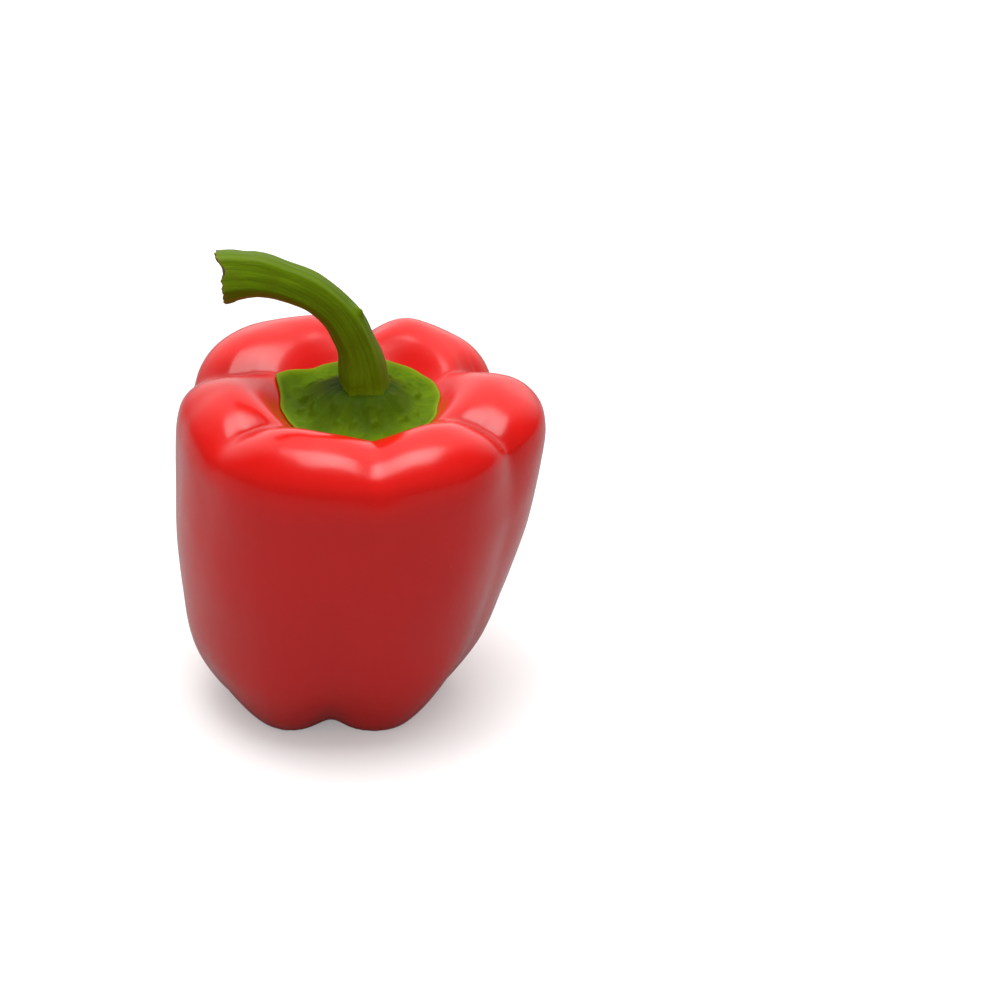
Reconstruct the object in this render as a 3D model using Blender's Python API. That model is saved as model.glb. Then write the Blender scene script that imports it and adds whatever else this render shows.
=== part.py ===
"""A blocky bell pepper as picked, standing on the feet of its lobes: fruit, calyx and cut stem.

Metres, +Z up, front at -Y. The origin is on the surface that the pepper stands on, under the
middle of the fruit's box. Run with: blender --background --python part.py
"""

import math

import bmesh
import bpy
from mathutils import Vector
from mathutils.geometry import interpolate_bezier

# Driving dimensions. Azimuths are degrees round the axis: 0 at +X, -90 at the front. A place is how
# far down the meridian a point lies, from 0 under the calyx to 1 at the blossom end.
# The fruit's meridian over the tops of its lobes, as (distance from the axis, height).
MERIDIAN = (
    (0.0000, 0.0745),
    (0.0080, 0.0745),
    (0.0150, 0.0754),
    (0.0202, 0.0792),
    (0.0252, 0.0846),
    (0.0315, 0.0870),
    (0.0382, 0.0832),
    (0.0425, 0.0750),
    (0.0441, 0.0640),
    (0.0431, 0.0480),
    (0.0404, 0.0300),
    (0.0370, 0.0150),
    (0.0305, 0.0040),
    (0.0250, -0.0024),
    (0.0195, -0.0034),
    (0.0140, -0.0006),
    (0.0070, 0.0044),
    (0.0000, 0.0062),
)
MERIDIAN_STEPS = 30
# One row for each furrow between two lobes: its azimuths at the calyx, on the outer shoulder and
# at the foot, then how deep it cuts the shoulder, the side and the foot.
FURROWS = (
    (-81, -82, -94, 0.0032, 0.0005, 0.0042),
    (-34, -40, -42, 0.0052, 0.0026, 0.0040),
    (26, 26, 28, 0.0058, 0.0034, 0.0045),
    (92, 92, 90, 0.0055, 0.0032, 0.0045),
    (152, 166, 160, 0.0058, 0.0030, 0.0045),
    (-132, -138, -145, 0.0050, 0.0012, 0.0030),
)
# Where the furrows run from their first azimuth to the second, and from the second to the third.
FURROW_BEND = ((0.10, 0.0), (0.24, 1.0))
FURROW_DRIFT = ((0.25, 0.0), (0.85, 1.0))
# How far to each side a furrow sinks the skin, down the meridian, and how round its bottom is.
FURROW_REACH = ((0.0, 0.0050), (0.20, 0.0058), (0.40, 0.0095), (0.70, 0.0095), (0.86, 0.0055))
FURROW_LEAST_DISTANCE = 0.012
CREASE_ROUNDING = 0.30
# How much of the shoulder, side and foot depths counts, down the meridian.
SHOULDER_SHARE = ((0.07, 0.0), (0.15, 0.9), (0.21, 1.0), (0.40, 0.0))
SIDE_SHARE = ((0.20, 0.0), (0.40, 1.0), (0.66, 1.0), (0.84, 0.0))
FOOT_SHARE = ((0.62, 0.0), (0.85, 1.0), (0.93, 0.8), (1.0, 0.0))
# The outline seen from above, as (azimuth, share of the meridian's distance on the shoulder and at
# the foot). The fades say how much of it counts, and how much of the foot's share, at each place.
OUTLINE = (
    (-110, 0.975, 0.99),
    (-60, 0.985, 0.95),
    (-8, 1.02, 0.91),
    (40, 0.95, 0.90),
    (80, 0.95, 0.92),
    (110, 0.98, 0.95),
    (140, 1.11, 1.0),
    (162, 1.12, 1.02),
    (195, 0.98, 1.01),
)
OUTLINE_FADE = ((0.14, 0.0), (0.28, 1.0))
OUTLINE_DRIFT = ((0.35, 0.0), (0.80, 1.0))
# How much the top of the lobe at each azimuth stands above the meridian.
LOBE_RISE = (
    (-106, -0.0025),
    (-60, -0.0025),
    (-8, -0.0020),
    (40, -0.0030),
    (78, 0.0),
    (126, 0.0),
    (195, -0.0010),
)
RISE_FADE = ((0.14, 0.0), (0.24, 1.0), (0.42, 0.0))
# The fruit leans to +X, and the bowl that holds the calyx is tilted up at the back.
LEAN = 0.09
LEAN_HEIGHT = 0.070
SEAT_TILT = 0.08
SEAT_FADE = ((0.12, 1.0), (0.22, 0.0))
FRUIT_SEGMENTS = 72
FRUIT_RINGS = 40

GAP = 0.0004
# The calyx: a disc with one short tip over each furrow, as (azimuth, how far it is drawn out).
CALYX_RADIUS = 0.0184
CALYX_TIPS = (
    (-131, 0.0004),
    (-83, 0.0020),
    (-30, 0.0012),
    (26, 0.0004),
    (92, 0.0010),
    (150, 0.0038),
)
CALYX_TIP_WIDTH = 13
CALYX_TIP_SHARPNESS = 1.5
# The calyx's upper side, as (share of its radius, height above the seat), and its rim's thickness.
CALYX_TOP = (
    (0.0, 0.0054),
    (0.36, 0.0054),
    (0.46, 0.0040),
    (0.66, 0.0024),
    (0.84, 0.0022),
    (1.0, 0.0030),
)
CALYX_RIM = 0.0012
# The collar in the middle stays level; the rest of the upper side follows the tilted bowl.
COLLAR_FADE = ((0.40, 0.0), (0.60, 1.0))
CALYX_SEGMENTS = 60
CALYX_RINGS = 16
SEAT_STEPS = 600

# The stem's centre line from the calyx to its cut end, as (x, y, height above the calyx's top, radius).
STEM = (
    (0.0019, 0.0000, 0.0000, 0.0062),
    (0.0016, 0.0000, 0.0040, 0.0056),
    (0.0002, 0.0000, 0.0120, 0.0047),
    (-0.0028, -0.0002, 0.0188, 0.0045),
    (-0.0074, -0.0006, 0.0242, 0.0045),
    (-0.0136, -0.0012, 0.0282, 0.0047),
    (-0.0210, -0.0022, 0.0310, 0.0051),
    (-0.0264, -0.0030, 0.0316, 0.0057),
    (-0.0300, -0.0036, 0.0314, 0.0061),
)
STEM_STEPS = 4

SKIN = ("pepper_skin", (0.60, 0.008, 0.003, 1.0), 0.28)
CALYX_GREEN = ("calyx_green", (0.16, 0.26, 0.03, 1.0), 0.55)
STEM_GREEN = ("stem_green", (0.09, 0.15, 0.01, 1.0), 0.50)


def eased(share):
    share = min(max(share, 0.0), 1.0)
    return share * share * (3 - 2 * share)


def along(place, keys):
    """The value at a place, eased between (place, value) keys in rising order."""
    value = keys[0][1]
    for (low, low_value), (high, high_value) in zip(keys, keys[1:]):
        if place > low:
            value = low_value + (high_value - low_value) * eased((place - low) / (high - low))
    return value


def around(azimuth, keys):
    """The value at an azimuth, eased between (azimuth, value) keys that close into a ring."""
    closed = (*keys, (keys[0][0] + 360, keys[0][1]))
    return along((azimuth - keys[0][0]) % 360 + keys[0][0], closed)


def smooth_line(points, steps):
    """A smooth curve through the points, with this many steps from each to the next."""
    points = [Vector(point) for point in points]
    ends = [2 * points[0] - points[1], *points, 2 * points[-1] - points[-2]]
    line = []
    for before, start, end, after in zip(ends, ends[1:], ends[2:], ends[3:]):
        out, back = start + (end - before) / 6, end - (after - start) / 6
        line += interpolate_bezier(start, out, back, end, steps + 1)[:-1]
    return [*line, points[-1]]


def evenly(line, count):
    """The line's points at even distances along it, as (point, direction) pairs."""
    lengths = [0.0]
    for start, end in zip(line, line[1:]):
        lengths.append(lengths[-1] + (end - start).length)
    found, piece = [], 0
    for index in range(count + 1):
        wanted = lengths[-1] * index / count
        while piece < len(line) - 2 and lengths[piece + 1] < wanted:
            piece += 1
        start, end = line[piece], line[piece + 1]
        share = (wanted - lengths[piece]) / (lengths[piece + 1] - lengths[piece])
        found.append((start.lerp(end, share), (end - start).normalized()))
    return found


def furrow_depth(azimuth, place, distance):
    """How far the skin is sunk here below the tops of its lobes, by every furrow together."""
    shoulder, side, foot = (along(place, keys) for keys in (SHOULDER_SHARE, SIDE_SHARE, FOOT_SHARE))
    width = along(place, FURROW_REACH) / max(distance, FURROW_LEAST_DISTANCE)
    depth = 0.0
    bend, drift = along(place, FURROW_BEND), along(place, FURROW_DRIFT)
    for inner, outer, low, shoulder_depth, side_depth, foot_depth in FURROWS:
        middle = inner + (outer - inner) * bend + (low - outer) * drift
        off = math.radians((azimuth - middle + 180) % 360 - 180) / width
        crease = math.exp(CREASE_ROUNDING - math.hypot(off, CREASE_ROUNDING))
        depth += crease * (shoulder * shoulder_depth + side * side_depth + foot * foot_depth)
    return depth


def skin_point(azimuth, place, meridian_point, direction):
    """A point of the fruit's skin, round the axis and along the meridian from 0 to 1."""
    distance, height, _ = meridian_point
    depth = furrow_depth(azimuth, place, distance)
    shoulder, foot = (around(azimuth, [(row[0], row[side]) for row in OUTLINE]) for side in (1, 2))
    outline = shoulder + (foot - shoulder) * along(place, OUTLINE_DRIFT)
    outline = 1 + (outline - 1) * along(place, OUTLINE_FADE)
    distance = distance * outline + direction.y * depth
    height += around(azimuth, LOBE_RISE) * along(place, RISE_FADE) - direction.x * depth
    angle = math.radians(azimuth)
    y = distance * math.sin(angle)
    height += SEAT_TILT * y * along(place, SEAT_FADE)
    x = distance * math.cos(angle) + LEAN * (height - LEAN_HEIGHT)
    return Vector((x, y, max(height, 0.0)))


def sphere_mesh(segments, rings):
    """A sphere's bmesh and each of its vertices with its azimuth and its ring from the top."""
    mesh = bmesh.new()
    bmesh.ops.create_uvsphere(mesh, u_segments=segments, v_segments=rings, radius=1)
    places = []
    for vertex in mesh.verts:
        ring = round(math.acos(min(max(vertex.co.z, -1.0), 1.0)) / math.pi * rings)
        places.append((vertex, math.degrees(math.atan2(vertex.co.y, vertex.co.x)), ring))
    return mesh, places


def finished(name, mesh, material, collection):
    """The bmesh as a smooth object in the collection, with its own material."""
    data = bpy.data.meshes.new(name)
    mesh.to_mesh(data)
    mesh.free()
    data.shade_smooth()
    data.materials.append(plain_material(*material))
    made = bpy.data.objects.new(name, data)
    collection.objects.link(made)
    return made


def plain_material(name, colour, roughness):
    material = bpy.data.materials.new(name)
    material.use_nodes = True
    shader = material.node_tree.nodes["Principled BSDF"]
    shader.inputs["Base Color"].default_value = colour
    shader.inputs["Roughness"].default_value = roughness
    shader.inputs["Metallic"].default_value = 0.0
    return material


def build_fruit(collection):
    """The whole fruit as one solid, from its seat under the calyx to its blossom end."""
    mesh, places = sphere_mesh(FRUIT_SEGMENTS, FRUIT_RINGS)
    meridian = [(*point, 0.0) for point in MERIDIAN]
    stations = evenly(smooth_line(meridian, MERIDIAN_STEPS), FRUIT_RINGS)
    for vertex, azimuth, ring in places:
        vertex.co = skin_point(azimuth, ring / FRUIT_RINGS, *stations[ring])
    return finished("fruit", mesh, SKIN, collection)


def calyx_radius(azimuth):
    """The calyx's reach at an azimuth: a disc drawn out into a tip over each furrow."""
    reach = CALYX_RADIUS
    for middle, tip in CALYX_TIPS:
        off = ((azimuth - middle + 180) % 360 - 180) / CALYX_TIP_WIDTH
        reach += tip * math.exp(-abs(off) ** CALYX_TIP_SHARPNESS)
    return reach


def skin_height(azimuth, reach, stations):
    """How high the skin lies at an azimuth and a distance from the axis, inside the bowl."""
    for index, (point, direction) in enumerate(stations):
        depth = furrow_depth(azimuth, index / SEAT_STEPS, point.x)
        if point.x + direction.y * depth >= reach:
            return point.y - direction.x * depth
    return stations[0][0].y


def build_calyx(collection):
    """A thin disc that lies in the bowl of the shoulders, with a raised collar for the stem."""
    mesh, places = sphere_mesh(CALYX_SEGMENTS, CALYX_RINGS)
    half = CALYX_RINGS // 2
    stations = evenly(smooth_line([(*point, 0.0) for point in MERIDIAN], MERIDIAN_STEPS), SEAT_STEPS)
    for vertex, azimuth, ring in places:
        share = 1 - abs(ring - half) / half
        reach = calyx_radius(azimuth) * share
        under = skin_height(azimuth, reach, stations) + GAP
        above = max(MERIDIAN[0][1] + along(share, CALYX_TOP), under + CALYX_RIM)
        angle = math.radians(azimuth)
        y = reach * math.sin(angle)
        under += SEAT_TILT * y
        above += SEAT_TILT * y * along(share, COLLAR_FADE)
        height = (above, (above + under) / 2, under)[(ring > half) - (ring < half) + 1]
        vertex.co = (reach * math.cos(angle) + LEAN * (height - LEAN_HEIGHT), y, height)
    return finished("calyx", mesh, CALYX_GREEN, collection)


def build_stem(collection):
    """The cut stem: a tube that thickens towards the calyx and towards its cut end."""
    foot = MERIDIAN[0][1] + CALYX_TOP[0][1] + GAP
    line = smooth_line([(x, y, foot + z) for x, y, z, _ in STEM], STEM_STEPS)
    radii = smooth_line([(radius, 0, 0) for _, _, _, radius in STEM], STEM_STEPS)
    curve = bpy.data.curves.new("stem", "CURVE")
    curve.dimensions = "3D"
    curve.bevel_depth = 1.0
    curve.bevel_resolution = 4
    curve.use_fill_caps = True
    spline = curve.splines.new("POLY")
    spline.points.add(len(line) - 1)
    for point, place, radius in zip(spline.points, line, radii):
        point.co = (*place, 1)
        point.radius = radius.x
    curve.materials.append(plain_material(*STEM_GREEN))
    stem = bpy.data.objects.new("stem", curve)
    collection.objects.link(stem)
    return stem


def main():
    for old in list(bpy.data.objects):
        bpy.data.objects.remove(old)
    collection = bpy.data.collections.new("bell_pepper")
    bpy.context.scene.collection.children.link(collection)
    fruit = build_fruit(collection)
    corners = [Vector(corner) for corner in fruit.bound_box]
    middle = (corners[0] + corners[6]) / 2
    for piece in (fruit, build_calyx(collection), build_stem(collection)):
        piece.location = (-middle.x, -middle.y, 0)


main()
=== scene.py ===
import functools
import math

import bmesh
import bpy
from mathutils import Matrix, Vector, noise


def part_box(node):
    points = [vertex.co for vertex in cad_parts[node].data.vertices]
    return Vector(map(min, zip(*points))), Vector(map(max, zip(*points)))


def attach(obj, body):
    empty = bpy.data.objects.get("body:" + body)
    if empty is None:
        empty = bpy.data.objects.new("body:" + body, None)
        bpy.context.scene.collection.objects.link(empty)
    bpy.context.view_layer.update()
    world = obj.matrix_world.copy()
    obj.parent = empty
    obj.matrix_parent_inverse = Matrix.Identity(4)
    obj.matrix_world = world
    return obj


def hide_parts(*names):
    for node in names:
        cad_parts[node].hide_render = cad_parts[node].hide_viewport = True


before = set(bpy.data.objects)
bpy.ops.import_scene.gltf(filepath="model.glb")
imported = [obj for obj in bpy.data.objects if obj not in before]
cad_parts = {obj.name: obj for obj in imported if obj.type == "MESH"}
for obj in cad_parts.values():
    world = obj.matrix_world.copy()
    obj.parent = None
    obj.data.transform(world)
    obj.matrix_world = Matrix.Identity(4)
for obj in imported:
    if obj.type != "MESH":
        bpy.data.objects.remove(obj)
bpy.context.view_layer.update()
fruitLow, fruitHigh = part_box("fruit")
calyxLow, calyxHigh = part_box("calyx")
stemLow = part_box("stem")[0]
mm = 0.001
print("frame loaded")


# curves that a shape is read from: keys are (place, value), eased from one to the next

def eased(share):
    share = min(max(share, 0.0), 1.0)
    return share * share * (3 - 2 * share)


def along(place, keys):
    value = keys[0][1]
    for (low, lowValue), (high, highValue) in zip(keys, keys[1:]):
        if place > low:
            value = lowValue + (highValue - lowValue) * eased((place - low) / (high - low))
    return value


def around(azimuth, keys):
    closed = [*keys, (keys[0][0] + 360, *keys[0][1:])]
    return along((azimuth - keys[0][0]) % 360 + keys[0][0], closed)


def turnFrom(azimuth, middle):   # signed degrees from one azimuth to another
    return (azimuth - middle + 180) % 360 - 180


def smoothLine(points, steps):
    points = [Vector(point) for point in points]
    ends = [2 * points[0] - points[1], *points, 2 * points[-1] - points[-2]]
    line = []
    for before, start, end, after in zip(ends, ends[1:], ends[2:], ends[3:]):
        for step in range(steps):
            t = step / steps
            line.append(0.5 * (2 * start + (end - before) * t
                               + (2 * before - 5 * start + 4 * end - after) * t * t
                               + (3 * start - before - 3 * end + after) * t ** 3))
    return [*line, points[-1]]


def evenly(line, count):   # (point, direction) at even distances along the line
    lengths = [0.0]
    for start, end in zip(line, line[1:]):
        lengths.append(lengths[-1] + (end - start).length)
    found, piece = [], 0
    for index in range(count + 1):
        wanted = lengths[-1] * index / count
        while piece < len(line) - 2 and lengths[piece + 1] < wanted:
            piece += 1
        start, end = line[piece], line[piece + 1]
        share = (wanted - lengths[piece]) / (lengths[piece + 1] - lengths[piece])
        found.append((start.lerp(end, share), (end - start).normalized()))
    return found


def roundMesh(segments, rings, *attributes):
    # a ball, each vertex with its azimuth and its ring from the top, and a layer for each attribute
    ball = bmesh.new()
    bmesh.ops.create_uvsphere(ball, u_segments=segments, v_segments=rings, radius=1)
    layers = [getattr(ball.verts.layers, kind).new(name) for name, kind in attributes]
    places = []
    for vertex in ball.verts:
        ring = round(math.acos(min(max(vertex.co.z, -1.0), 1.0)) / math.pi * rings)
        azimuth = round(math.degrees(math.atan2(vertex.co.y, vertex.co.x)), 3)
        places.append((vertex, azimuth, ring))
    return ball, places, *layers


def makePiece(name, shape, material, node):
    bmesh.ops.recalc_face_normals(shape, faces=shape.faces)
    data = bpy.data.meshes.new(name)
    shape.to_mesh(data)
    shape.free()
    data.shade_smooth()
    data.materials.append(material)
    piece = bpy.data.objects.new(name, data)
    bpy.context.scene.collection.objects.link(piece)
    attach(piece, "root")
    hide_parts(node)
    return piece


# node materials

def fromHex(code):   # sRGB hex to linear
    channels = [int(code[i:i + 2], 16) / 255 for i in (0, 2, 4)]
    return [c / 12.92 if c <= 0.04045 else ((c + 0.055) / 1.055) ** 2.4 for c in channels] + [1.0]


def addNode(tree, kind, inputs=None, **settings):
    node = tree.nodes.new(kind)
    for name, value in settings.items():
        setattr(node, name, value)
    for name, value in (inputs or {}).items():
        if isinstance(value, bpy.types.NodeSocket):
            tree.links.new(value, node.inputs[name])
        else:
            node.inputs[name].default_value = value
    return node


def newMaterial(name):
    material = bpy.data.materials.new(name)
    material.use_nodes = True
    tree = material.node_tree
    return material, tree, tree.nodes["Principled BSDF"]


def perMetre(size):   # texture scale for a pattern this many millimetres across
    return 1 / (size * mm)


# the fruit

fruit = dict(
    segments=360, rings=240,
    # from the seat of the calyx over a lobe to the blossom end: mm from the axis, mm up
    meridian=[(0, 74.5), (8, 74.5), (14.4, 75.0), (18.0, 77.0), (21.4, 80.2), (24.8, 83.5),
              (28.2, 86.0), (31.8, 87.0), (35.8, 86.2), (39.4, 84.0), (42.3, 80.4), (43.7, 76.0),
              (44.1, 68.0), (43.2, 48.0), (40.8, 30.0), (37.8, 15.8), (32.6, 5.2), (26.6, -1.6),
              (20.0, -3.4), (14.0, -0.6), (7.0, 4.4), (0, 6.2)],
    # azimuth at the calyx, outer shoulder and foot, depth in mm at shoulder, side and foot, and
    # how far down the shoulder's furrow fades out
    furrows=[(-81, -82, -94, 2.8, 0.3, 4.4, 0.38), (-34, -29, -30, 4.8, 1.6, 3.4, 0.44),
             (26, 26, 28, 6.0, 3.4, 4.7, 0.40), (92, 92, 90, 5.4, 3.2, 4.7, 0.40),
             (152, 166, 160, 5.6, 3.0, 4.7, 0.40), (-134, -141, -152, 4.2, 0.4, 2.2, 0.36)],
    # (place, value) down the meridian: 0 at the seat's middle, 1 at the blossom end
    bend=[(0.10, 0), (0.24, 1)], drift=[(0.25, 0), (0.85, 1)],
    reach=[(0.10, 8), (0.22, 14), (0.40, 19), (0.70, 20), (0.86, 13)],
    rounding=[(0.13, 0.04), (0.24, 0.10), (0.40, 0.20)], steepness=2.2,
    shoulder=[(0.10, 0), (0.21, 1)], fadeStart=0.21,
    side=[(0.20, 0), (0.40, 1), (0.66, 1), (0.84, 0)],
    foot=[(0.62, 0), (0.85, 1), (0.93, 0.8), (1, 0)],
    # (azimuth, value) round the fruit: share of the radius at the shoulder and the foot, mm of rise
    outlineTop=[(-120, 0.99), (-86, 0.975), (-48, 1.01), (-8, 1.01), (40, 0.905), (80, 0.89),
                (110, 0.93), (140, 1.05), (162, 1.05), (195, 0.965)],
    outlineFoot=[(-120, 0.97), (-86, 0.91), (-50, 0.96), (-8, 0.91), (40, 0.89), (80, 0.91),
                 (110, 0.94), (140, 1.0), (162, 1.02), (195, 1.01)],
    outlineFade=[(0.14, 0), (0.28, 1)], outlineDrift=[(0.35, 0), (0.80, 1)],
    rise=[(-106, -2.8), (-60, -2.8), (-8, -4.2), (40, -4.0), (78, -1.6), (126, -1.0), (195, -2.2)],
    riseFade=[(0.14, 0), (0.24, 1), (0.42, 0)],
    lean=0.09, leanFrom=70, seatTilt=0.08, seatFade=[(0.12, 1), (0.22, 0)],
    nearest=12,                       # mm from the axis, inside which furrows get narrower
    fullDepth=5,                      # mm of furrow that counts as 1 in the skin's painted furrow shade
    swell=0.22, swellSize=17,         # slow unevenness of the grown wall
    ripple=0.05, rippleSize=6,
)


@functools.cache
def atPlace(place, *names):   # the fruit's values at one place down the meridian
    return [along(place, fruit[name]) for name in names]


@functools.cache
def atAzimuth(azimuth):
    return [around(azimuth, fruit[name]) for name in ("outlineTop", "outlineFoot", "rise")]


def furrowDepth(azimuth, place, distance):
    shoulder, side, foot, reach, rounding, bend, drift = atPlace(
        place, "shoulder", "side", "foot", "reach", "rounding", "bend", "drift")
    if not shoulder + side + foot:
        return 0.0
    width = reach / max(distance, fruit["nearest"])
    depth = 0.0
    for inner, outer, low, shoulderDepth, sideDepth, footDepth, fadeEnd in fruit["furrows"]:
        shoulderDepth *= 1 - eased((place - fruit["fadeStart"]) / (fadeEnd - fruit["fadeStart"]))
        middle = inner + (outer - inner) * bend + (low - outer) * drift
        off = math.radians(turnFrom(azimuth, middle)) / width
        crease = max(1 + rounding - math.hypot(off, rounding), 0) ** fruit["steepness"]
        depth += crease * (shoulder * shoulderDepth + side * sideDepth + foot * footDepth)
    return depth


def sunk(direction):   # the way a furrow goes: into the wall, but straight down inside the bowl
    return Vector((min(direction.y, 0.0), -direction.x))


def skinPoint(azimuth, place, meridianPoint, direction):   # mm, and how deep the furrow is here
    distance, height = meridianPoint
    fade, drift, riseFade, seatFade = atPlace(
        place, "outlineFade", "outlineDrift", "riseFade", "seatFade")
    outlineTop, outlineFoot, rise = atAzimuth(azimuth)
    depth = furrowDepth(azimuth, place, distance)
    outline = 1 + (outlineTop + (outlineFoot - outlineTop) * drift - 1) * fade
    distance = distance * outline + sunk(direction).x * depth
    height += rise * riseFade + sunk(direction).y * depth
    angle = math.radians(azimuth)
    y = distance * math.sin(angle)
    height += fruit["seatTilt"] * y * seatFade
    x = distance * math.cos(angle) + fruit["lean"] * (height - fruit["leanFrom"])
    return Vector((x, y, height)), depth


meridian = smoothLine(fruit["meridian"], 24)


def makeFruit():
    ball, places, furrowLayer = roundMesh(fruit["segments"], fruit["rings"], ("furrow", "float"))
    stations = evenly(meridian, fruit["rings"])
    for vertex, azimuth, ring in places:
        place = ring / fruit["rings"]
        point, depth = skinPoint(azimuth, place, *stations[ring])
        outward = Vector((math.cos(math.radians(azimuth)), math.sin(math.radians(azimuth)), 0))
        direction = stations[ring][1]
        normal = outward * -direction.y + Vector((0, 0, direction.x))
        wave = noise.noise(point / fruit["swellSize"]) * fruit["swell"]
        wave += noise.noise(point / fruit["rippleSize"] + Vector((7, 3, 1))) * fruit["ripple"]
        point += normal * wave
        point.z = max(point.z, 0.0)
        vertex.co = point * mm
        # furrow depth, which the skin's material turns into painted shade
        vertex[furrowLayer] = depth / fruit["fullDepth"]
    return ball


def middleOf(shape):
    return [(min(v.co[i] for v in shape.verts) + max(v.co[i] for v in shape.verts)) / 2
            for i in (0, 1)]


def makeSkin():
    # waxy skin, grown smooth: deep saturated red under a clear cuticle that gives broad soft shine
    material, tree, shader = newMaterial("waxyRedPepperSkin")
    where = addNode(tree, "ShaderNodeTexCoord").outputs["Object"]
    patches = addNode(tree, "ShaderNodeTexNoise",
                      {"Vector": where, "Scale": perMetre(26), "Detail": 3.0, "Roughness": 0.5})
    base = addNode(tree, "ShaderNodeMix",
                   {"Factor": patches.outputs["Fac"], "A": fromHex("bf0601"), "B": fromHex("ce0a02")},
                   data_type="RGBA")
    # faint streaks run down the wall, 2 mm apart
    drawn = addNode(tree, "ShaderNodeMapping",
                    {"Vector": where, "Scale": (perMetre(2), perMetre(2), perMetre(30))})
    streaks = addNode(tree, "ShaderNodeTexNoise",
                      {"Vector": drawn.outputs["Vector"], "Scale": 1.0, "Detail": 2.0})
    streakShare = addNode(tree, "ShaderNodeMapRange",
                          {"Value": streaks.outputs["Fac"], "From Min": 0.45, "From Max": 0.75,
                           "To Min": 0.0, "To Max": 0.05})
    streaked = addNode(tree, "ShaderNodeMix",
                       {"Factor": streakShare.outputs["Result"], "A": base.outputs["Result"],
                        "B": fromHex("a30702")}, data_type="RGBA")
    # painted shade: furrow bottoms are darkened by their depth, as if shaded
    furrow = addNode(tree, "ShaderNodeAttribute", attribute_name="furrow").outputs["Fac"]
    deep = addNode(tree, "ShaderNodeMapRange",
                   {"Value": furrow, "From Min": 0.35, "From Max": 1.1, "To Min": 0.0, "To Max": 0.55})
    shaded = addNode(tree, "ShaderNodeMix",
                     {"Factor": deep.outputs["Result"], "A": streaked.outputs["Result"],
                      "B": fromHex("8c0602")}, data_type="RGBA")
    # pale pores, dots up to 0.9 mm across and about 4 mm apart
    pores = addNode(tree, "ShaderNodeTexVoronoi",
                    {"Vector": where, "Scale": perMetre(4), "Randomness": 1.0})
    poreShare = addNode(tree, "ShaderNodeMapRange",
                        {"Value": pores.outputs["Distance"], "From Min": 0.05, "From Max": 0.11,
                         "To Min": 0.07, "To Max": 0.0})
    speckled = addNode(tree, "ShaderNodeMix",
                       {"Factor": poreShare.outputs["Result"], "A": shaded.outputs["Result"],
                        "B": fromHex("e2452e")}, data_type="RGBA")
    # the cuticle's fine unevenness, 1.2 mm, and softer dents, 7 mm
    grain = addNode(tree, "ShaderNodeTexNoise",
                    {"Vector": where, "Scale": perMetre(1.2), "Detail": 2.0})
    dents = addNode(tree, "ShaderNodeTexNoise",
                    {"Vector": where, "Scale": perMetre(7), "Detail": 1.0})
    height = addNode(tree, "ShaderNodeMath", {0: dents.outputs["Fac"], 1: 8.0}, operation="MULTIPLY")
    height = addNode(tree, "ShaderNodeMath", {0: height.outputs[0], 1: grain.outputs["Fac"]},
                     operation="ADD")
    bump = addNode(tree, "ShaderNodeBump",
                   {"Height": height.outputs[0], "Strength": 0.5, "Distance": 0.010 * mm})
    gloss = addNode(tree, "ShaderNodeMapRange",
                    {"Value": patches.outputs["Fac"], "From Min": 0.3, "From Max": 0.7,
                     "To Min": 0.20, "To Max": 0.26})
    tree.links.new(speckled.outputs["Result"], shader.inputs["Base Color"])
    tree.links.new(bump.outputs["Normal"], shader.inputs["Normal"])
    tree.links.new(gloss.outputs["Result"], shader.inputs["Roughness"])
    shader.inputs["IOR"].default_value = 1.38
    shader.inputs["Subsurface Weight"].default_value = 0.18
    shader.inputs["Subsurface Radius"].default_value = (1.0, 0.12, 0.06)
    shader.inputs["Subsurface Scale"].default_value = 3 * mm
    shader.inputs["Coat Weight"].default_value = 0.40
    shader.inputs["Coat Roughness"].default_value = 0.20
    shader.inputs["Coat IOR"].default_value = 1.4
    return material


fruitShape = makeFruit()
formMiddle = middleOf(fruitShape)
onCad = Vector(((fruitLow.x + fruitHigh.x) / 2 - formMiddle[0],
                (fruitLow.y + fruitHigh.y) / 2 - formMiddle[1], fruitLow.z))
bmesh.ops.translate(fruitShape, vec=onCad, verts=fruitShape.verts)
makePiece("fruitWall", fruitShape, makeSkin(), "fruit")
print("fruit made")


# the calyx

calyx = dict(
    segments=288, rings=120,
    radius=18.6, sink=0.25,
    # azimuth, how far the tip is drawn out in mm, its half width in degrees
    tips=[(-131, 0.9, 13), (-83, 1.9, 12), (-30, 1.2, 13), (26, 0.4, 14), (92, 1.0, 13), (157, 3.8, 14)],
    # share of the radius, mm above the seat
    top=[(0, 7.8), (0.26, 7.8), (0.82, 2.4), (1, 3.0)],
    rim=0.9, scallop=0.3,
    ridges=0.09, warts=0.65, wartSize=2.4,
    levelTop=[(0.40, 0), (0.65, 1)],
    seatCount=400, seatUsed=140,   # steps down the meridian, and those that the calyx can reach
)
seatSteps = evenly(meridian, calyx["seatCount"])[:calyx["seatUsed"]]


def seatLine(azimuth):   # how high the skin is at each distance from the axis
    line = []
    for index, (point, direction) in enumerate(seatSteps):
        place = index / calyx["seatCount"]
        depth = furrowDepth(azimuth, place, point.x)
        line.append((point.x + sunk(direction).x * depth, point.y + sunk(direction).y * depth))
    return line


def heightOn(line, reach):
    for (near, low), (far, high) in zip(line, line[1:]):
        if near <= reach < far:
            return low + (high - low) * (reach - near) / (far - near)
    return line[0][1]


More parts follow.
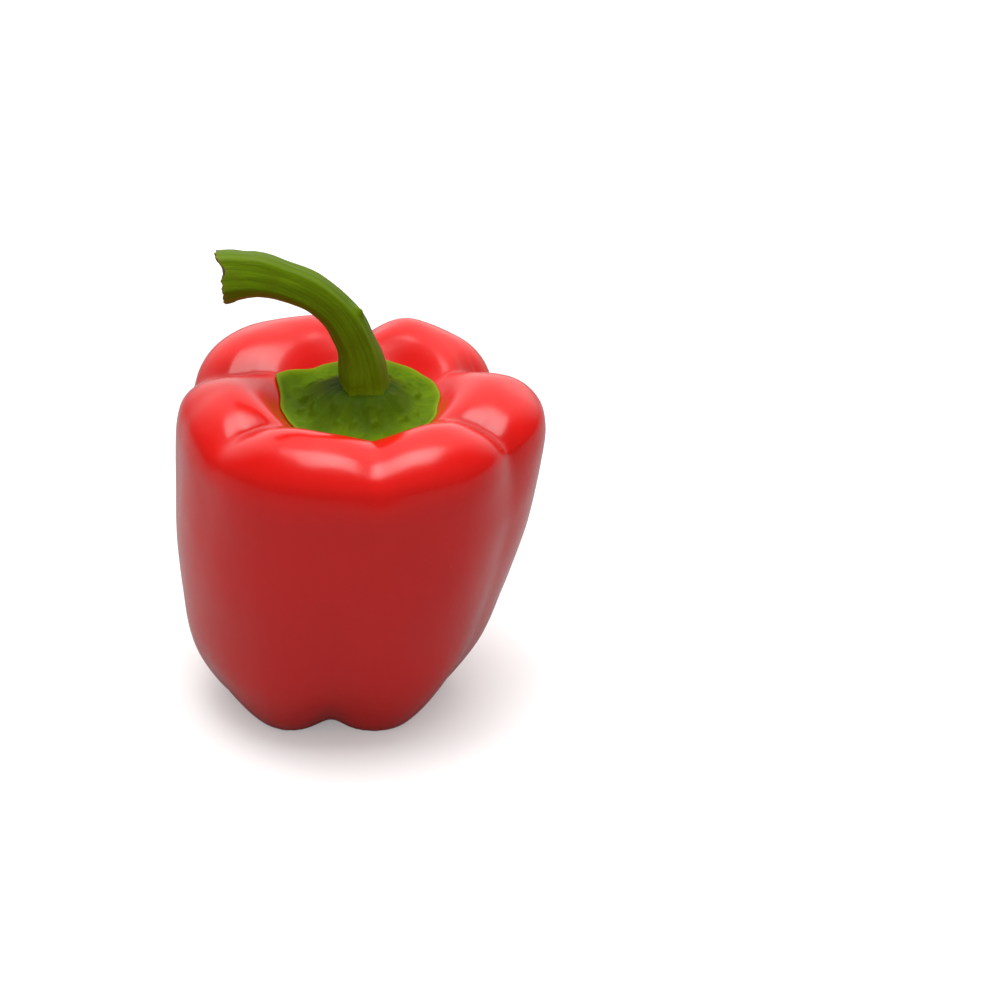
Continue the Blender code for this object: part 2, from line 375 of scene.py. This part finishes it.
def makeCalyx():
    ball, places, rimLayer = roundMesh(calyx["segments"], calyx["rings"], ("rimShare", "float"))
    half = calyx["rings"] // 2
    lines = {}
    for vertex, azimuth, ring in places:
        if azimuth not in lines:
            lines[azimuth] = seatLine(azimuth)
        share = 1 - abs(ring - half) / half
        reach = calyx["radius"]
        for middle, drawn, width in calyx["tips"]:
            reach += drawn * math.exp(-abs(turnFrom(azimuth, middle) / width) ** 1.5)
        angle = math.radians(azimuth)
        out = Vector((math.cos(angle), math.sin(angle), 0))
        reach += noise.noise(out * 3.1 + Vector((0, 0, 4))) * 2 * calyx["scallop"]
        reach *= share
        under = heightOn(lines[azimuth], reach) - calyx["sink"]
        above = fruit["meridian"][0][1] + along(share, calyx["top"])
        # ridges run out from the stem, warts sit between them
        ridge = noise.noise(out * 6 + Vector((0, 0, share))) * calyx["ridges"] * eased(share * 2)
        wart = max(noise.noise(out * reach / calyx["wartSize"] + Vector((5, 5, 5))) - 0.15, 0)
        wart *= eased((share - 0.3) * 3) * eased((1 - share) * 4)
        above += ridge * 2 + wart * calyx["warts"] * 3
        above = max(above, under + calyx["rim"])
        y = reach * math.sin(angle)
        under += fruit["seatTilt"] * y
        above += fruit["seatTilt"] * y * along(share, calyx["levelTop"])
        # the rim turns under in a round edge
        height = above if ring < half else under
        if ring == half:
            height = (above + under) / 2
        x = reach * math.cos(angle) + fruit["lean"] * (height - fruit["leanFrom"])
        vertex.co = Vector((x, y, height)) * mm + onCad
        vertex[rimLayer] = share
    return ball


def makeCalyxGreen():
    # fleshy calyx, grown: green, with painted shade darkening its cone towards the stem, pale at its
    # rim, with a dull soft sheen
    material, tree, shader = newMaterial("fleshyGreenCalyx")
    where = addNode(tree, "ShaderNodeTexCoord").outputs["Object"]
    middle = (calyxLow + calyxHigh) / 2
    centred = addNode(tree, "ShaderNodeMapping", {"Vector": where, "Location": tuple(-middle)})
    flat = addNode(tree, "ShaderNodeVectorMath", {0: centred.outputs["Vector"], 1: (1, 1, 0)},
                   operation="MULTIPLY").outputs["Vector"]
    outward = addNode(tree, "ShaderNodeVectorMath", {0: flat}, operation="NORMALIZE").outputs["Vector"]
    ribs = addNode(tree, "ShaderNodeTexNoise", {"Vector": outward, "Scale": 4.0, "Detail": 3.0,
                                                "Roughness": 0.6})
    blotches = addNode(tree, "ShaderNodeTexNoise",
                       {"Vector": where, "Scale": perMetre(5), "Detail": 4.0})
    base = addNode(tree, "ShaderNodeMix",
                   {"Factor": blotches.outputs["Fac"], "A": fromHex("365000"), "B": fromHex("647e00")},
                   data_type="RGBA")
    ribShare = addNode(tree, "ShaderNodeMapRange",
                       {"Value": ribs.outputs["Fac"], "From Min": 0.42, "From Max": 0.68,
                        "To Min": 0.0, "To Max": 0.3})
    ribbed = addNode(tree, "ShaderNodeMix",
                     {"Factor": ribShare.outputs["Result"], "A": base.outputs["Result"],
                      "B": fromHex("324802")}, data_type="RGBA")
    share = addNode(tree, "ShaderNodeAttribute", attribute_name="rimShare").outputs["Fac"]
    # painted shade: the cone is darkened towards the stem, where it lies in shade
    paintedConeShade = addNode(tree, "ShaderNodeMapRange",
                   {"Value": share, "From Min": 0.30, "From Max": 0.92, "To Min": 0.85, "To Max": 0.0})
    coneShadePainted = addNode(tree, "ShaderNodeMix",
                    {"Factor": paintedConeShade.outputs["Result"], "A": ribbed.outputs["Result"],
                     "B": fromHex("1a2c00")}, data_type="RGBA")
    edge = addNode(tree, "ShaderNodeMapRange",
                   {"Value": share, "From Min": 0.92, "From Max": 1.0, "To Min": 0.0, "To Max": 0.5})
    edged = addNode(tree, "ShaderNodeMix",
                    {"Factor": edge.outputs["Result"], "A": coneShadePainted.outputs["Result"],
                     "B": fromHex("8c9c20")}, data_type="RGBA")
    grain = addNode(tree, "ShaderNodeTexNoise",
                    {"Vector": where, "Scale": perMetre(0.8), "Detail": 3.0})
    height = addNode(tree, "ShaderNodeMath", {0: blotches.outputs["Fac"], 1: 4.0}, operation="MULTIPLY")
    height = addNode(tree, "ShaderNodeMath", {0: height.outputs[0], 1: grain.outputs["Fac"]},
                     operation="ADD")
    bump = addNode(tree, "ShaderNodeBump",
                   {"Height": height.outputs[0], "Strength": 0.7, "Distance": 0.12 * mm})
    tree.links.new(edged.outputs["Result"], shader.inputs["Base Color"])
    tree.links.new(bump.outputs["Normal"], shader.inputs["Normal"])
    shader.inputs["Roughness"].default_value = 0.48
    shader.inputs["IOR"].default_value = 1.40
    shader.inputs["Specular IOR Level"].default_value = 0.05
    shader.inputs["Subsurface Weight"].default_value = 0.10
    shader.inputs["Subsurface Radius"].default_value = (0.5, 1.0, 0.1)
    shader.inputs["Subsurface Scale"].default_value = 1 * mm
    return material


makePiece("calyxDisc", makeCalyx(), makeCalyxGreen(), "calyx")
print("calyx made")


# the stem

stem = dict(
    segments=120, rings=260, capRings=26,
    # centre line from the calyx to the cut end: x, y and height in mm, and the radius
    path=[(1.9, 0, -1.4), (1.6, 0, 4.0), (0.2, 0, 12.0), (-2.8, -0.2, 18.8), (-7.4, -0.6, 24.2),
          (-13.6, -1.2, 28.2), (-21.0, -2.2, 31.0), (-26.4, -3.0, 31.6), (-30.0, -3.6, 31.4)],
    radius=[(0, 6.9), (0.10, 5.9), (0.30, 4.75), (0.50, 4.5), (0.72, 4.7), (0.88, 5.6), (1, 6.4)],
    corners=5, cornerTurn=38, roundness=0.35, twist=22,
    ribs=0.04, ribCount=11, lumps=0.30, lumpSize=7,
    length=55,     # roughly the centre line's length in mm
    collar=0.3,    # mm from the solid stem's foot up to the centre line's zero
    ragged=1.5, dish=0.9, tornRings=14,
    # leaf scar on the outer side: share along the stem, angle, size and height in mm
    scar=dict(place=0.40, turn=8, size=1.3, height=1.2),
)


def makeStem():
    ball, places, wayLayer, cutLayer = roundMesh(
        stem["segments"], stem["rings"], ("stemWay", "float_vector"), ("cutShare", "float"))
    foot = stemLow.z / mm + stem["collar"]
    path = [Vector((x, y, foot + z)) for x, y, z in stem["path"]]
    wallRings = stem["rings"] - 2 * stem["capRings"]
    stations = evenly(smoothLine(path, 20), wallRings)
    side = Vector((0, 1, 0))
    for vertex, azimuth, ring in places:
        # ring 0 is the middle of the cut face, then its edge, the wall, and the hidden base
        inFromEnd = max(stem["capRings"] - ring, 0) / stem["capRings"]
        inFromBase = max(ring - wallRings - stem["capRings"], 0) / stem["capRings"]
        index = min(max(stem["capRings"] + wallRings - ring, 0), wallRings)
        centre, direction = stations[index]
        share = index / wallRings
        outer = side.cross(direction).normalized()
        if outer.z < 0:
            outer.negate()
        inward = outer.cross(direction)
        turn = azimuth + stem["twist"] * (share - 0.5)
        angle = math.radians(azimuth)
        radius = along(share, stem["radius"])
        # rounded corners between flat sides
        wedge = 360 / stem["corners"]
        off = math.radians((turn - stem["cornerTurn"]) % wedge - wedge / 2)
        flatSided = math.cos(math.radians(wedge / 2)) / math.cos(off)
        cornered = 1 + (flatSided * 1.06 - 1) * (1 - stem["roundness"])
        spoke = Vector((math.cos(math.radians(turn)), math.sin(math.radians(turn)), 0))
        wander = 2 * noise.noise(spoke * 2)
        rib = math.sin(math.radians(turn * stem["ribCount"]) + wander) * stem["ribs"]
        lumpAt = Vector((spoke.x, spoke.y, share * 60 / stem["lumpSize"])) * 0.9
        lump = noise.noise(lumpAt) * stem["lumps"]
        reach = radius * cornered + rib + lump
        scar = stem["scar"]
        away = math.hypot((share - scar["place"]) * stem["length"],
                          math.radians(turnFrom(azimuth, scar["turn"])) * radius)
        reach += scar["height"] * math.exp(-(away / scar["size"]) ** 1.5)
        reach *= 1 - max(inFromEnd, inFromBase)
        point = centre + (outer * math.cos(angle) + inward * math.sin(angle)) * reach
        # torn, uneven cut with a dished pith
        tear = noise.noise(spoke * 1.7 + Vector((0, 0, 9))) + 0.5 * noise.noise(spoke * 5)
        if ring <= stem["capRings"] + stem["tornRings"]:
            fade = eased(1 - max(ring - stem["capRings"], 0) / stem["tornRings"])
            point += direction * tear * stem["ragged"] * fade * (1 - 0.6 * inFromEnd)
            point -= direction * stem["dish"] * eased(inFromEnd * 1.6)
            point += direction * noise.noise(point / 0.9) * 0.35 * eased(inFromEnd * 4)
        vertex.co = point * mm + onCad
        vertex[wayLayer] = Vector((spoke.x * 5, spoke.y * 5, share * stem["length"]))
        brown = eased(1 - max(ring - stem["capRings"], 0) / 6) * 0.5
        vertex[cutLayer] = eased(inFromEnd * 8 + brown)
    return ball


def makeStemGreen():
    # woody green stem, grown and cut: fibre streaks along it, brown dry cut end
    material, tree, shader = newMaterial("fibrousGreenStem")
    way = addNode(tree, "ShaderNodeAttribute", attribute_name="stemWay").outputs["Vector"]
    drawn = addNode(tree, "ShaderNodeMapping", {"Vector": way, "Scale": (1.6, 1.6, 0.09)})
    fibres = addNode(tree, "ShaderNodeTexNoise",
                     {"Vector": drawn.outputs["Vector"], "Scale": 1.0, "Detail": 5.0, "Roughness": 0.6})
    blotches = addNode(tree, "ShaderNodeTexNoise", {"Vector": way, "Scale": 0.18, "Detail": 3.0})
    base = addNode(tree, "ShaderNodeMix",
                   {"Factor": fibres.outputs["Fac"], "A": fromHex("364a00"), "B": fromHex("5e7800")},
                   data_type="RGBA")
    patchShare = addNode(tree, "ShaderNodeMapRange",
                         {"Value": blotches.outputs["Fac"], "From Min": 0.45, "From Max": 0.7,
                          "To Min": 0.0, "To Max": 0.5})
    patched = addNode(tree, "ShaderNodeMix",
                      {"Factor": patchShare.outputs["Result"], "A": base.outputs["Result"],
                       "B": fromHex("505e02")}, data_type="RGBA")
    cut = addNode(tree, "ShaderNodeAttribute", attribute_name="cutShare").outputs["Fac"]
    ended = addNode(tree, "ShaderNodeMix",
                    {"Factor": cut, "A": patched.outputs["Result"], "B": fromHex("6a5a1c")},
                    data_type="RGBA")
    fine = addNode(tree, "ShaderNodeTexNoise", {"Vector": way, "Scale": 1.4, "Detail": 4.0})
    height = addNode(tree, "ShaderNodeMath", {0: fibres.outputs["Fac"], 1: 2.5}, operation="MULTIPLY")
    height = addNode(tree, "ShaderNodeMath", {0: height.outputs[0], 1: fine.outputs["Fac"]},
                     operation="ADD")
    bump = addNode(tree, "ShaderNodeBump",
                   {"Height": height.outputs[0], "Strength": 0.6, "Distance": 0.14 * mm})
    tree.links.new(ended.outputs["Result"], shader.inputs["Base Color"])
    tree.links.new(bump.outputs["Normal"], shader.inputs["Normal"])
    shader.inputs["Roughness"].default_value = 0.42
    shader.inputs["IOR"].default_value = 1.40
    shader.inputs["Specular IOR Level"].default_value = 0.08
    return material


makePiece("stemStalk", makeStem(), makeStemGreen(), "stem")
print("stem made")


# floor, lights and camera

studio = dict(
    floorSize=2.4, floorColour="f4f2f1",
    # one lamp inside another, so that the light's edge is soft: widths and depths in metres
    boxSizes=[(0.16, 0.10), (0.27, 0.18), (0.44, 0.30)], boxAt=(0, -0.05, 0.62), boxGlow=5.0,
    # the sky's brightness, and how its bright part fades away from the direction it lies in
    skyTowards=(0, 0.8, 0.6), skyFade=(0.40, 0.97), skyBright=1.3, skyDim=0.08,
    fill=0.74,   # even light from all round that only matt shading takes
    lift=0.25,    # how much of the paper's white is its own
    floorDim="949292",   # what the skin sees of the paper
    elevation=30, distance=0.65, lens=97.5, aside=33.7, aimHeight=52,
)


def makeFloor():
    flat = bmesh.new()
    bmesh.ops.create_grid(flat, x_segments=1, y_segments=1, size=studio["floorSize"] / 2)
    data = bpy.data.meshes.new("paperFloor")
    flat.to_mesh(data)
    flat.free()
    material, tree, shader = newMaterial("matteWhitePaper")   # plain, no gloss
    where = addNode(tree, "ShaderNodeTexCoord").outputs["Object"]
    fibre = addNode(tree, "ShaderNodeTexNoise", {"Vector": where, "Scale": perMetre(1.5), "Detail": 3.0})
    bump = addNode(tree, "ShaderNodeBump",
                   {"Height": fibre.outputs["Fac"], "Strength": 0.1, "Distance": 0.05 * mm})
    tree.links.new(bump.outputs["Normal"], shader.inputs["Normal"])
    shader.inputs["Roughness"].default_value = 0.9
    shader.inputs["Specular IOR Level"].default_value = 0.0
    # the paper is white to the eye and greyer in the skin, with a little light of its own
    seen = addNode(tree, "ShaderNodeLightPath").outputs["Is Camera Ray"]
    tone = addNode(tree, "ShaderNodeMix",
                   {"Factor": seen, "A": fromHex(studio["floorDim"]),
                    "B": fromHex(studio["floorColour"])}, data_type="RGBA")
    own = addNode(tree, "ShaderNodeEmission", {"Color": (1, 1, 1, 1), "Strength": 1.0})
    share = addNode(tree, "ShaderNodeMath", {0: seen, 1: studio["lift"]}, operation="MULTIPLY")
    lifted = addNode(tree, "ShaderNodeMixShader",
                     {0: share.outputs[0], 1: shader.outputs["BSDF"], 2: own.outputs["Emission"]})
    tree.links.new(tone.outputs["Result"], shader.inputs["Base Color"])
    tree.links.new(lifted.outputs["Shader"], tree.nodes["Material Output"].inputs["Surface"])
    data.materials.append(material)
    floor = bpy.data.objects.new("paperFloor", data)
    bpy.context.scene.collection.objects.link(floor)


def addSoftbox(name, place, aim, size, power):
    data = bpy.data.lights.new(name, "AREA")
    data.shape = "RECTANGLE"
    data.size, data.size_y = size
    data.energy = power
    lamp = bpy.data.objects.new(name, data)
    bpy.context.scene.collection.objects.link(lamp)
    lamp.location = place
    lamp.rotation_euler = (Vector(aim) - Vector(place)).to_track_quat("-Z", "Y").to_euler()


def makeSky():   # bright behind the object, dim in front of it, and white where it is seen
    world = bpy.data.worlds.new("studioSky")
    bpy.context.scene.world = world
    world.use_nodes = True
    tree = world.node_tree
    where = addNode(tree, "ShaderNodeTexCoord").outputs["Generated"]
    facing = addNode(tree, "ShaderNodeVectorMath", {0: where, 1: studio["skyTowards"]},
                     operation="DOT_PRODUCT").outputs["Value"]
    level = addNode(tree, "ShaderNodeMapRange",
                    {"Value": facing, "From Min": studio["skyFade"][0],
                     "From Max": studio["skyFade"][1], "To Min": studio["skyDim"],
                     "To Max": studio["skyBright"]}, interpolation_type="SMOOTHSTEP")
    path = addNode(tree, "ShaderNodeLightPath")
    filled = addNode(tree, "ShaderNodeMath",
                     {0: path.outputs["Is Diffuse Ray"], 1: studio["fill"],
                      2: level.outputs["Result"]}, operation="MULTIPLY_ADD")
    strength = addNode(tree, "ShaderNodeMix",
                       {"Factor": path.outputs["Is Camera Ray"], "A": filled.outputs[0], "B": 1.0},
                       data_type="FLOAT")
    tree.links.new(strength.outputs["Result"], tree.nodes["Background"].inputs["Strength"])
    tree.nodes["Background"].inputs["Color"].default_value = (1, 1, 1, 1)


def makeCamera():
    data = bpy.data.cameras.new("studioCamera")
    data.lens = studio["lens"]
    data.sensor_width = 36
    camera = bpy.data.objects.new("studioCamera", data)
    bpy.context.scene.collection.objects.link(camera)
    tilt = math.radians(studio["elevation"])
    aim = Vector((studio["aside"] * mm, 0, studio["aimHeight"] * mm))
    back = Vector((0, -math.cos(tilt), math.sin(tilt)))
    camera.location = aim + back * studio["distance"]
    camera.rotation_euler = (-back).to_track_quat("-Z", "Y").to_euler()
    bpy.context.scene.camera = camera


makeFloor()
for index, size in enumerate(studio["boxSizes"]):
    power = studio["boxGlow"] * math.pi * size[0] * size[1]
    addSoftbox(f"overheadSoftbox{index + 1}", studio["boxAt"], (0, 0, 0.05), size, power)
makeSky()
makeCamera()
bpy.context.scene.view_settings.view_transform = "Standard"
print("studio made")
